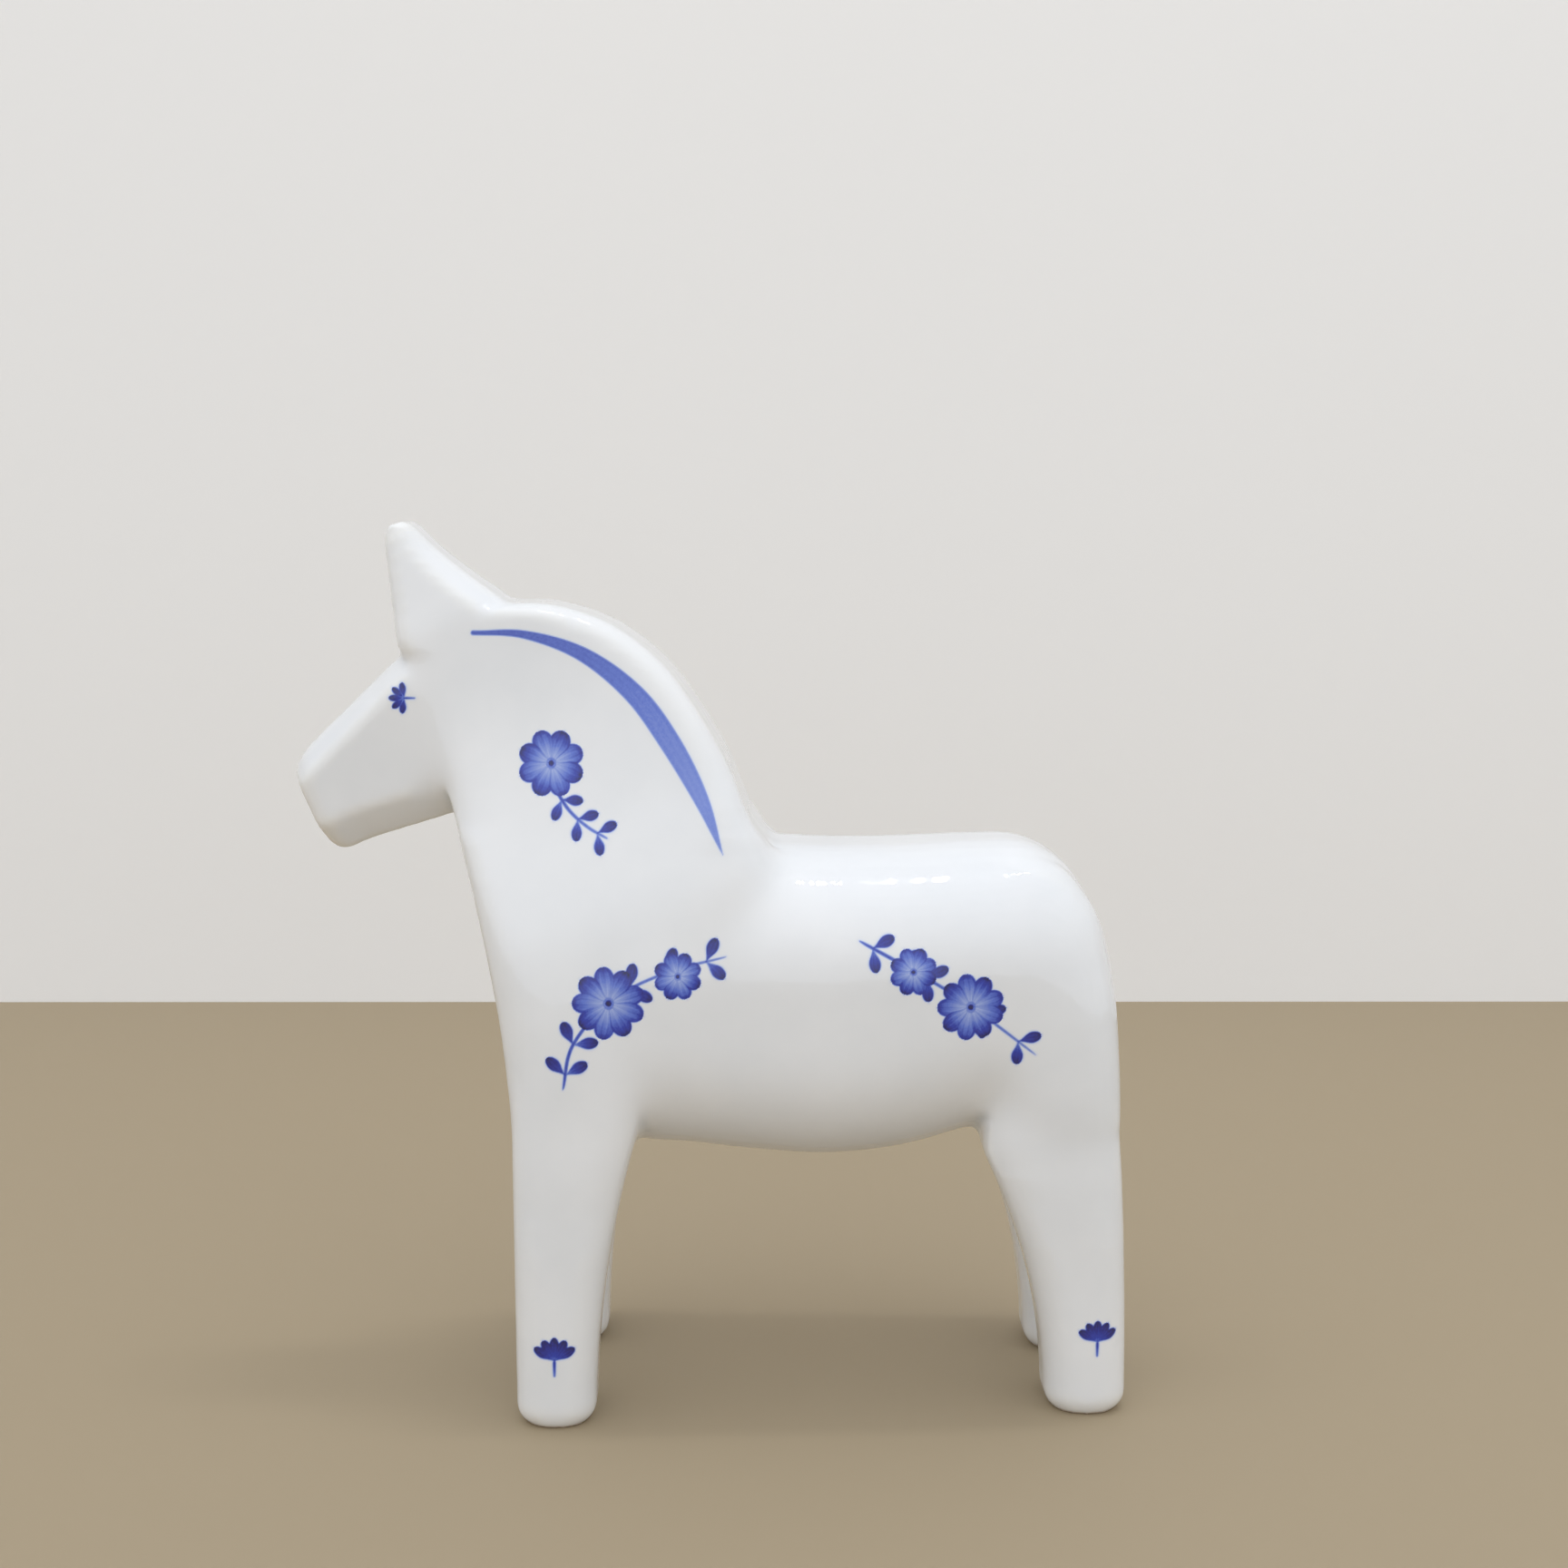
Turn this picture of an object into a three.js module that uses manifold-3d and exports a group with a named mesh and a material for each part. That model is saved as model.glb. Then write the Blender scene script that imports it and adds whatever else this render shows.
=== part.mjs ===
// A slip-cast porcelain dala horse, about 220 mm tall, as it leaves the casting bench:
// a hollow trunk, a hollow neck and head, four hollow legs, and the slip that joins them.
// Millimetres, +Z up, nose towards -X, origin on the floor under the middle of the horse.
import * as THREE from 'three';
import { ParametricGeometry } from 'three/addons/geometries/ParametricGeometry.js';
import { mergeVertices } from 'three/addons/utils/BufferGeometryUtils.js';
import Module from 'manifold-3d';

const wasm = await Module();
wasm.setup();

// ---- driving sizes ----
const LEG_LENGTH = 63.5; // floor to the lowest point of the belly
const BARREL_DEPTH = 75.5; // belly to the middle of the back
const NECK_RISE = 61.5; // back to poll
const EAR_HEIGHT = 19.5; // poll to ear tip
const BODY_LENGTH = 152.4; // breast to buttock
const NOSE_REACH = 55.3; // how far the nose stands ahead of the breast
const MUZZLE_DROP = 62; // poll to the lowest point of the chin

const SHOULDER_HALF = 39; // half widths across the horse
const BARREL_HALF = 36.5;
const HAUNCH_HALF = 34.8;
const POLL_HALF = 16.5;
const MUZZLE_HALF = 13.5;
const EAR_TIP_HALF = 10.5;

const BARREL_ROUND = 24; // how round the back and belly turn into the flanks
const CREST_ROUND = 5;
const BRIDGE_ROUND = 5;
const JAW_ROUND = 8;
const EAR_ROUND = 3.5;

const FRONT_STANCE = 27.6; // middle of a front leg from the middle of the horse
const HIND_STANCE = 20.6;
const SOLE_LENGTH = 20.2; // along the horse
const SOLE_WIDTH = 24.4; // across the horse
const LEG_ROUND = 8;
const SOLE_EDGE = 1.8; // rounding under the foot

const WALL = 4; // thickness that the slip builds up in the mould
const STUMP = 3.5; // leg root left on the trunk, below the belly
const SLIP = 0.8; // fired thickness of the slip in a joint
const GAP = 0.3; // clearance that touching solids keep
const VENT_RADIUS = 3; // firing vent through the belly
const VENT_AT = 0.5; // its place along the trunk, from the breast

// ---- landmarks, worked out from the sizes ----
const BELLY = LEG_LENGTH;
const BACK = BELLY + BARREL_DEPTH;
const POLL = BACK + NECK_RISE;
const EAR_TIP = POLL + EAR_HEIGHT;
const BREAST_X = (NOSE_REACH - BODY_LENGTH) / 2;
const REAR_X = BREAST_X + BODY_LENGTH;
const NOSE_X = BREAST_X - NOSE_REACH;
const CHIN = POLL - MUZZLE_DROP;
const LEG_JOINT = BELLY - STUMP;

// ---- lofting ----
const CORNER_STEPS = 6;
const FLAT_STEPS = 3;
const RING = 4 * (CORNER_STEPS + FLAT_STEPS);

// One point of a rounded rectangle, a by b in half sizes, with its own corner radius at each end.
function sectionPoint(index, a, b, roundFront, roundBack) {
  const run = CORNER_STEPS + FLAT_STEPS;
  const corner = (quarter) => {
    const front = quarter === 1 || quarter === 2;
    const radius = Math.min(front ? roundFront : roundBack, a * 0.98, b * 0.98);
    return { radius, s: (front ? -1 : 1) * (a - radius), y: (quarter < 2 ? 1 : -1) * (b - radius) };
  };
  const onCorner = (quarter, turn) => {
    const c = corner(quarter);
    const angle = (quarter + turn) * Math.PI / 2;
    return new THREE.Vector2(c.s + c.radius * Math.cos(angle), c.y + c.radius * Math.sin(angle));
  };
  const quarter = Math.floor(index / run);
  const step = index % run;
  if (step <= CORNER_STEPS) return onCorner(quarter, step / CORNER_STEPS);
  const from = onCorner(quarter, 1);
  const to = onCorner((quarter + 1) % 4, 0);
  return from.lerp(to, (step - CORNER_STEPS) / FLAT_STEPS);
}

// A station of a loft: its front and back points seen from the side, its reach across the horse
// from near to far, and how round its front and back corners are.
function station(front, back, near, far, roundFront, roundBack) {
  return { front, back, near, far, roundFront, roundBack };
}

// A closed skin through the stations, with `steps` rings from each to the next.
function loft(stations, steps) {
  const rail = (pick) => new THREE.SplineCurve(stations.map((s) => new THREE.Vector2(...pick(s))));
  const frontRail = rail((s) => s.front);
  const backRail = rail((s) => s.back);
  const sideRail = rail((s) => [s.near, s.far]);
  const roundRail = rail((s) => [s.roundFront, s.roundBack]);
  const rings = (stations.length - 1) * steps + 1;
  const skin = (u, v, target) => {
    const row = Math.round(v * (rings + 1));
    const t = THREE.MathUtils.clamp((row - 1) / (rings - 1), 0, 1);
    const front = frontRail.getPoint(t);
    const back = backRail.getPoint(t);
    const side = sideRail.getPoint(t);
    const round = roundRail.getPoint(t);
    const middle = front.clone().lerp(back, 0.5);
    const along = back.clone().sub(front).normalize();
    const halfLength = front.distanceTo(back) / 2;
    const halfWidth = Math.abs(side.y - side.x) / 2;
    const pole = row === 0 || row === rings + 1;
    const p = sectionPoint(Math.round(u * RING) % RING, halfLength, halfWidth, round.x, round.y);
    if (pole) p.set(0, 0);
    const y = (side.x + side.y) / 2 + p.y;
    target.set(middle.x + along.x * p.x, y, middle.y + along.y * p.x);
  };
  return toSolid(new ParametricGeometry(skin, RING, rings + 1));
}

// ---- solids and booleans ----
function toSolid(geometry) {
  geometry.deleteAttribute('normal');
  geometry.deleteAttribute('uv');
  const merged = mergeVertices(geometry, 1e-4);
  const corners = merged.index.array;
  const at = (i) => new THREE.Vector3().fromBufferAttribute(merged.attributes.position, i);
  const kept = [];
  let volume = 0;
  for (let i = 0; i < corners.length; i += 3) {
    const [a, b, c] = corners.slice(i, i + 3);
    if (a === b || b === c || c === a) continue;
    kept.push(a, b, c);
    volume += at(a).dot(at(b).cross(at(c)));
  }
  if (volume < 0) kept.reverse();
  const mesh = new wasm.Mesh({
    numProp: 3,
    vertProperties: new Float32Array(merged.attributes.position.array),
    triVerts: new Uint32Array(kept),
  });
  return new wasm.Manifold(mesh);
}

function join(solids) {
  return solids.reduce((all, next) => all.add(next));
}

// A block far larger than the horse, whose lower face lies on z = bottom.
const REACH = 4 * (BODY_LENGTH + EAR_TIP);
function above(bottom) {
  const block = new THREE.BoxGeometry(REACH, REACH, REACH);
  block.translate(0, 0, bottom + REACH / 2);
  return toSolid(block);
}

// The same block, tilted with the neck joint and lifted off it by `lift`.
function aboveNeckJoint(lift) {
  const front = new THREE.Vector2(...NECK_JOINT_FRONT);
  const back = new THREE.Vector2(...NECK_JOINT_BACK);
  const slope = back.clone().sub(front).angle();
  const block = new THREE.BoxGeometry(REACH, REACH, REACH);
  block.translate(0, 0, lift + REACH / 2);
  block.rotateY(-slope);
  block.translate(front.x, 0, front.y);
  return toSolid(block);
}

// ---- the horse's form; `inset` 0 gives the outer skin, WALL gives the cavity ----
const THROAT = [BREAST_X - 16.5, CHIN + 9.3];
const NECK_JOINT_FRONT = [BREAST_X - 6, BACK - 29];
const NECK_JOINT_BACK = [BREAST_X + 66, BACK + 1];

// Pulls a station's four sides in by the wall.
function pulledIn(s, inset) {
  const along = new THREE.Vector2(...s.back).sub(new THREE.Vector2(...s.front)).setLength(inset);
  const across = Math.sign(s.far - s.near) * inset;
  return station(
    [s.front[0] + along.x, s.front[1] + along.y],
    [s.back[0] - along.x, s.back[1] - along.y],
    s.near + across,
    s.far - across,
    Math.max(s.roundFront - inset, 1),
    Math.max(s.roundBack - inset, 1),
  );
}

function centred(front, back, half, roundFront, roundBack) {
  return station(front, back, -half, half, roundFront, roundBack);
}

// Breast, shoulders and neck, from the chest floor up to the poll.
function forehand(inset) {
  const waist = (share) => THREE.MathUtils.lerp(POLL_HALF, SHOULDER_HALF, share);
  const stations = [
    centred([BREAST_X, BELLY + 5 + inset], [BREAST_X + 27, BELLY + 5 + inset], SHOULDER_HALF, 8, 8),
    centred([BREAST_X - 1, BELLY + 18], [BREAST_X + 42, BELLY + 20], SHOULDER_HALF + 0.3, 9, 20),
    centred([BREAST_X - 3, BELLY + 35], [BREAST_X + 57, BACK - 30], SHOULDER_HALF - 0.4, 9, 24),
    centred([BREAST_X - 5.9, BACK - 24.5], [BREAST_X + 65, BACK - 5], waist(0.88), 8, 16),
    centred([BREAST_X - 9.2, BACK - 10.5], [BREAST_X + 57.8, BACK + 9.5], waist(0.66), 6, 9),
    centred([BREAST_X - 12.3, BACK + 1], [BREAST_X + 52.7, BACK + 22], waist(0.45), 5, 7),
    centred([BREAST_X - 15.3, BACK + 12], [BREAST_X + 45, BACK + 35.5], waist(0.27), 5, CREST_ROUND),
    centred([BREAST_X - 19, POLL - 39], [BREAST_X + 36, POLL - 14.3], waist(0.14), 5, CREST_ROUND),
    centred([BREAST_X - 22, POLL - 28.5], [BREAST_X + 23.5, POLL - 5], waist(0.06), 5, CREST_ROUND),
    centred([BREAST_X - 25.5, POLL - 19], [BREAST_X + 9.5, POLL - 0.4], waist(0.02), 5, CREST_ROUND),
    centred([BREAST_X - 27.5, POLL - 13 - inset], [BREAST_X - 3, POLL - inset], waist(0), 5, CREST_ROUND),
  ];
  return loft(stations.map((s) => pulledIn(s, inset)), inset ? 1 : 2);
}

// Back, belly and flanks, from the shoulders to the loins.
function barrel(inset) {
  const at = (x, bottom, top, half, round) => centred([x, bottom], [x, top], half, round, round);
  const loin = REAR_X - 41;
  const stations = [
    at(BREAST_X + 10 + inset, BELLY + 15, BACK - 12, SHOULDER_HALF - 6, BARREL_ROUND - 4),
    at(BREAST_X + 28, BELLY + 5.5, BACK - 2, SHOULDER_HALF - 0.2, BARREL_ROUND),
    at(BREAST_X + 44, BELLY + 3.4, BACK + 0.6, SHOULDER_HALF - 0.8, BARREL_ROUND),
    at(BREAST_X + 60, BELLY + 1.2, BACK + 0.5, BARREL_HALF + 0.6, BARREL_ROUND),
    at(THREE.MathUtils.lerp(BREAST_X + 60, loin, 0.35), BELLY, BACK - 0.2, BARREL_HALF, BARREL_ROUND),
    at(THREE.MathUtils.lerp(BREAST_X + 60, loin, 0.7), BELLY + 2, BACK, BARREL_HALF, BARREL_ROUND),
    at(loin, BELLY + 6, BACK + 0.8, HAUNCH_HALF + 0.7, BARREL_ROUND),
    at(REAR_X - 26, BELLY + 10, BACK + 0.7, HAUNCH_HALF, BARREL_ROUND),
    at(REAR_X - 15, BELLY + 15, BACK - 5, HAUNCH_HALF - 3, BARREL_ROUND - 2),
    at(REAR_X - 8 - inset, BELLY + 23, BACK - 15, HAUNCH_HALF - 9, BARREL_ROUND - 4),
  ];
  return loft(stations.map((s) => pulledIn(s, inset)), inset ? 1 : 2);
}

// Hindquarters, from the crotch up to the croup.
function haunch(inset) {
  const at = (z, depth, rear, half, round) => (
    centred([REAR_X - depth, z], [REAR_X - rear, z], half, 8, round)
  );
  const stations = [
    at(BELLY + 9 + inset, 28, 2.6, HAUNCH_HALF - 0.8, 9),
    at(BELLY + 23, 34, 2.9, HAUNCH_HALF, 11),
    at(BACK - 37, 36, 3.8, HAUNCH_HALF, 13),
    at(BACK - 25, 36, 5.5, HAUNCH_HALF - 0.8, 15),
    at(BACK - 17, 36, 7.5, HAUNCH_HALF - 2.6, 16),
    at(BACK - 11, 36, 10.4, HAUNCH_HALF - 5.4, 16),
    at(BACK - 4.2, 36, 15.8, HAUNCH_HALF - 10.5, 14),
    at(BACK - 0.6 - inset, 36, 22, HAUNCH_HALF - 17, 10),
  ];
  return loft(stations.map((s) => pulledIn(s, inset)), inset ? 1 : 2);
}

// Cheeks, bridge of the nose, jaw and the flat end of the muzzle.
function head(inset) {
  const half = (share) => THREE.MathUtils.lerp(POLL_HALF, MUZZLE_HALF, share);
  const stations = [
    centred([BREAST_X - 15 + inset, POLL - 5], [BREAST_X - 5, THROAT[1] + 4], half(-0.1), 6, 8),
    centred([BREAST_X - 28.6, POLL - 13.6], THROAT, half(0.05), BRIDGE_ROUND, JAW_ROUND),
    centred([BREAST_X - 36.2, POLL - 20.6], [THROAT[0] - 7, CHIN + 7], half(0.3), BRIDGE_ROUND, JAW_ROUND),
    centred([BREAST_X - 43.2, POLL - 27.5], [THROAT[0] - 14, CHIN + 4.8], half(0.55), BRIDGE_ROUND, JAW_ROUND),
    centred([NOSE_X + 5.8, POLL - 33.6], [THROAT[0] - 21, CHIN + 2.4], half(0.8), BRIDGE_ROUND, JAW_ROUND),
    centred([NOSE_X + 2.2 + inset, POLL - 37.6], [NOSE_X + 11.6 + inset, CHIN], half(1), BRIDGE_ROUND, 7),
    centred([NOSE_X + inset, POLL - 42.2], [NOSE_X + 8 + inset, CHIN + 1.8], half(1) - 2, 4, 5),
  ];
  return loft(stations.map((s) => pulledIn(s, inset)), inset ? 1 : 2);
}

// The ears, cast as one plain block; the slip fills it, so it has no cavity.
function ears() {
  const half = (share) => THREE.MathUtils.lerp(POLL_HALF - 1.5, EAR_TIP_HALF, share);
  const at = (front, back, share) => centred(front, back, half(share), EAR_ROUND, EAR_ROUND);
  const stations = [
    at([BREAST_X - 25, POLL - 14], [BREAST_X + 3, POLL - 6], 0),
    at([BREAST_X - 28.2, POLL - 11], [BREAST_X - 4.2, POLL], 0),
    at([BREAST_X - 29.3, POLL - 2], [BREAST_X - 13, POLL + 0.36 * EAR_HEIGHT], 0.35),
    at([BREAST_X - 30.2, POLL + 0.4 * EAR_HEIGHT], [BREAST_X - 20.5, POLL + 0.68 * EAR_HEIGHT], 0.7),
    at([BREAST_X - 30.7, POLL + 0.76 * EAR_HEIGHT], [BREAST_X - 25.8, POLL + 0.94 * EAR_HEIGHT], 0.97),
    at([BREAST_X - 29.8, POLL + 0.93 * EAR_HEIGHT], [BREAST_X - 27.6, EAR_TIP], 1.1),
  ];
  return loft(stations, 2);
}

// One leg, from its sole up into the trunk. toe and heel are how far its front and back edges
// stand outside the sole at a height, and side is -1 for the horse's left.
function leg(soleFront, stance, side, toe, heel, inset) {
  const inner = stance - SOLE_WIDTH / 2;
  const outer = stance + SOLE_WIDTH / 2;
  const at = (z, shrink, forward, backward) => station(
    [soleFront - forward + shrink, z],
    [soleFront + SOLE_LENGTH + backward - shrink, z],
    side * (inner + shrink),
    side * (outer - shrink),
    LEG_ROUND,
    LEG_ROUND,
  );
  const edge = SOLE_EDGE * (1 - Math.SQRT1_2);
  const foot = inset ? [at(inset, 0, 0, 0)] : [at(0, SOLE_EDGE, 0, 0), at(edge, edge, 0, 0), at(SOLE_EDGE, 0, 0, 0)];
  const shaft = [0.2, 0.45, 0.62, 0.8, 0.94, 1.03, 1.08, 1.13].map((share) => {
    const z = LEG_LENGTH * share;
    return at(z, 0, toe(share), heel(share));
  });
  return loft([...foot, ...shaft].map((s) => pulledIn(s, inset)), 1);
}

const SIDES = { left: -1, right: 1 };
const swell = (share, amount) => amount * share * share;

function frontLeg(side, inset) {
  const toe = (share) => 0.6 * (share - 1);
  const heel = (share) => swell(share, 8);
  return leg(BREAST_X, FRONT_STANCE, side, toe, heel, inset);
}

function hindLeg(side, inset) {
  const stifle = (share) => 200 * Math.max(0, share - 1) ** 2;
  const toe = (share) => swell(share, 15.2) + stifle(share);
  const heel = (share) => -swell(share, 2.2);
  return leg(REAR_X - SOLE_LENGTH, HIND_STANCE, side, toe, heel, inset);
}

function form(inset) {
  const legs = Object.values(SIDES).flatMap((side) => [frontLeg(side, inset), hindLeg(side, inset)]);
  return join([forehand(inset), barrel(inset), haunch(inset), head(inset), ...legs]);
}

// ---- casting the horse and cutting it at its joints ----
const ventDrill = new THREE.CylinderGeometry(VENT_RADIUS, VENT_RADIUS, 2 * BARREL_ROUND, 32);
ventDrill.rotateX(Math.PI / 2);
ventDrill.translate(BREAST_X + VENT_AT * BODY_LENGTH, 0, BELLY);

const shell = form(0).add(ears()).subtract(form(WALL)).subtract(toSolid(ventDrill));

const legTop = LEG_JOINT;
const slipBottom = legTop + GAP;
const slipTop = slipBottom + SLIP;
const bodyBottom = slipTop + GAP;

const legsPart = shell.subtract(above(legTop));
const legSlips = shell.intersect(above(slipBottom)).subtract(above(slipTop));
const body = shell.intersect(above(bodyBottom));
const trunk = body.subtract(aboveNeckJoint(0));
const neckSlip = body.intersect(aboveNeckJoint(GAP)).subtract(aboveNeckJoint(GAP + SLIP));
const neckHead = body.intersect(aboveNeckJoint(GAP + SLIP + GAP));

// Keeps what lies in one corner of the horse: front or hind, left or right.
function corner(solid, front, side) {
  const middle = (BREAST_X + REAR_X) / 2;
  const block = new THREE.BoxGeometry(REACH, REACH, 4 * REACH);
  block.translate(middle + (front ? -REACH / 2 : REACH / 2), side * REACH / 2, 0);
  return solid.intersect(toSolid(block));
}

// ---- the assembly ----
const porcelain = { color: 0xeef1f3, roughness: 0.12, metalness: 0 };
const slipColour = { color: 0xe4e2dc, roughness: 0.6, metalness: 0 };

const horse = new THREE.Group();

function addPiece(name, solid, finish) {
  const mesh = solid.getMesh();
  const geometry = new THREE.BufferGeometry();
  geometry.setAttribute('position', new THREE.BufferAttribute(mesh.vertProperties, 3));
  geometry.setIndex(new THREE.BufferAttribute(mesh.triVerts, 1));
  geometry.computeVertexNormals();
  const piece = new THREE.Mesh(geometry, new THREE.MeshStandardMaterial(finish));
  piece.name = name;
  horse.add(piece);
}

addPiece('trunk_casting', trunk, porcelain);
addPiece('neck_head_casting', neckHead, porcelain);
addPiece('neck_slip_joint', neckSlip, slipColour);
for (const [end, front] of [['front', true], ['hind', false]]) {
  for (const [name, side] of Object.entries(SIDES)) {
    addPiece(`leg_${end}_${name}_casting`, corner(legsPart, front, side), porcelain);
    addPiece(`leg_${end}_${name}_slip_joint`, corner(legSlips, front, side), slipColour);
  }
}

export default horse;
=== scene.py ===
import math

import bmesh
import bpy
import numpy as np
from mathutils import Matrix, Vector
from mathutils.bvhtree import BVHTree
from mathutils.interpolate import poly_3d_calc


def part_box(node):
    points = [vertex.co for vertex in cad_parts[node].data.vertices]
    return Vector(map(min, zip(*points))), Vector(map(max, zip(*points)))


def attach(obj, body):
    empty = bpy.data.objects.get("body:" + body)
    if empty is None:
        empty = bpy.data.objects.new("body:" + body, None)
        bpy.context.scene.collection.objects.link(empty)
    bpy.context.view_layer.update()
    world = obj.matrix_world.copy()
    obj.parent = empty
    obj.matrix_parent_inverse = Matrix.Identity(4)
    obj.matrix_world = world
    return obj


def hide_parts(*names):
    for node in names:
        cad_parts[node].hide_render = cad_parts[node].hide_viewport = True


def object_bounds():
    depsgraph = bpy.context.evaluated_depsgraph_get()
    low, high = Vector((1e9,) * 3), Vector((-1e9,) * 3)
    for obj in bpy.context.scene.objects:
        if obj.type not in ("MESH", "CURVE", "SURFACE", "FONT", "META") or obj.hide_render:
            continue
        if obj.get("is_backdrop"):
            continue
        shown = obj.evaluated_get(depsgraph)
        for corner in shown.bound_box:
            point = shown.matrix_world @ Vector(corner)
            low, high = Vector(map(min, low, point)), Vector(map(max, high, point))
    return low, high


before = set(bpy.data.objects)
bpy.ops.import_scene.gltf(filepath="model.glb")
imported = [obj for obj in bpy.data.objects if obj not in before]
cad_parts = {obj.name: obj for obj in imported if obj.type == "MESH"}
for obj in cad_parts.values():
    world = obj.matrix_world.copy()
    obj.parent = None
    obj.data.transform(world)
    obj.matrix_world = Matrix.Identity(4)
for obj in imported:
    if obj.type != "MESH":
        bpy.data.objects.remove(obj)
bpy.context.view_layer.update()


# ---- The porcelain body ----
# A hollow slip-cast horse whose trunk, neck and legs were luted with slip, sponged smooth and
# dipped in clear glaze, so that it reads as one continuous glassy skin with softened carved edges.
MM = 0.001
neck_low, neck_high = (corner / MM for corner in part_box("neck_head_casting"))
trunk_low, trunk_high = (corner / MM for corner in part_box("trunk_casting"))
fore_low, fore_high = (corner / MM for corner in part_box("leg_front_left_casting"))
hind_low, hind_high = (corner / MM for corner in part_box("leg_hind_left_casting"))

nose = neck_low.x
ear_tip = neck_high.z
poll = ear_tip - 19.5
back = trunk_high.z - 1.2
belly = trunk_low.z + 2.1
breast = fore_low.x
rear = hind_high.x
chin = poll - 62

SHOULDER = 39.0
BARREL = 36.5
HAUNCH = 34.8
POLL = 16.5
MUZZLE = 13.5
BARREL_ROUND = 30.0


def blended(values, t):
    """The value at t, 0 to 1, on a smooth curve through evenly spaced values."""
    place = min(max(t, 0.0), 1.0) * (len(values) - 1)
    index = min(int(place), len(values) - 2)
    f = place - index
    b = values[index]
    c = values[index + 1]
    a = values[index - 1] if index else 2 * b - c
    d = values[index + 2] if index + 2 < len(values) else 2 * c - b
    return b + 0.5 * f * (c - a + f * (2 * a - 5 * b + 4 * c - d + f * (3 * (b - c) + d - a)))


def section_place(share, length, width, round_front, round_back, facet):
    """A point of a rounded rectangle of half sizes length and width; facet planes its corners flat."""

    def on_corner(quarter, bend):
        front = quarter in (1, 2)
        radius = min(round_front if front else round_back, 0.98 * length, 0.98 * width)
        start = quarter * math.pi / 2
        arc = Vector((math.cos(start + bend * math.pi / 2), math.sin(start + bend * math.pi / 2)))
        chord = Vector((math.cos(start), math.sin(start)))
        chord = chord.lerp(Vector((-math.sin(start), math.cos(start))), bend)
        along = radius - length if front else length - radius
        aside = width - radius if quarter < 2 else radius - width
        return Vector((along, aside)) + radius * arc.lerp(chord, facet)

    quarter = int(share * 4) % 4
    turn = share * 4 - int(share * 4)
    if turn <= 0.5:
        return on_corner(quarter, turn / 0.5)
    return on_corner(quarter, 1).lerp(on_corner((quarter + 1) % 4, 0), (turn - 0.5) / 0.5)


def loft(form, stations, rings, facet=0.0, points=72):
    """A closed skin through stations of (front x, z, back x, z, near, far, round front, round back)."""
    made = bmesh.ops.create_circle(form, segments=points, radius=1.0)
    ring = made["verts"]
    place = form.verts.layers.int["place"]
    for number, vertex in enumerate(ring):
        vertex[place] = number
    edges = list({e for v in ring for e in v.link_edges})
    ends = [edges]
    for row in range(rings + 1):
        if row:
            grown = bmesh.ops.extrude_edge_only(form, edges=edges)["geom"]
            ring = [g for g in grown if isinstance(g, bmesh.types.BMVert)]
            inside = set(ring)
            edges = [g for g in grown if isinstance(g, bmesh.types.BMEdge)]
            edges = [e for e in edges if e.verts[0] in inside and e.verts[1] in inside]
        t = row / rings
        fx, fz, bx, bz, near, far, rf, rb = (blended(column, t) for column in zip(*stations))
        middle = Vector(((fx + bx) / 2, (fz + bz) / 2))
        along = Vector((bx - fx, bz - fz))
        length = along.length / 2
        along.normalize()
        for vertex in ring:
            share = (vertex[place] + 0.5) / points
            s, y = section_place(share, length, abs(far - near) / 2, rf, rb, facet)
            vertex.co = (middle.x + along.x * s, (near + far) / 2 + y, middle.y + along.y * s)
    ends.append(edges)
    for end in ends:
        bmesh.ops.holes_fill(form, edges=end, sides=0)


def centred(front, rear_point, half, round_front, round_back):
    return (*front, *rear_point, -half, half, round_front, round_back)


form = bmesh.new()
form.verts.layers.int.new("place")

# breast, shoulders and neck
neck_half = lambda share: POLL + (SHOULDER - POLL) * share
loft(form, [
    centred((breast, belly + 5), (breast + 27, belly + 5), SHOULDER, 8, 8),
    centred((breast - 1, belly + 18), (breast + 42, belly + 20), SHOULDER + 0.3, 9, 20),
    centred((breast - 3, belly + 35), (breast + 57, back - 30), SHOULDER - 0.4, 9, 24),
    centred((breast - 5.9, back - 24.5), (breast + 65, back - 5), neck_half(0.88), 8, 16),
    centred((breast - 9.2, back - 10.5), (breast + 57.8, back + 9.5), neck_half(0.66), 6, 9),
    centred((breast - 12.3, back + 1), (breast + 52.7, back + 22), neck_half(0.45), 5, 7),
    centred((breast - 15.3, back + 12), (breast + 45, back + 35.5), neck_half(0.27), 5, 5),
    centred((breast - 19, poll - 39), (breast + 36, poll - 14.3), neck_half(0.14), 5, 5),
    centred((breast - 22, poll - 28.5), (breast + 23.5, poll - 5), neck_half(0.06), 5, 5),
    centred((breast - 25.5, poll - 19), (breast + 9.5, poll - 0.4), neck_half(0.02), 5, 5),
    centred((breast - 27.5, poll - 13), (breast - 3, poll), neck_half(0), 5, 5),
], 60, facet=0.3)

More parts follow.
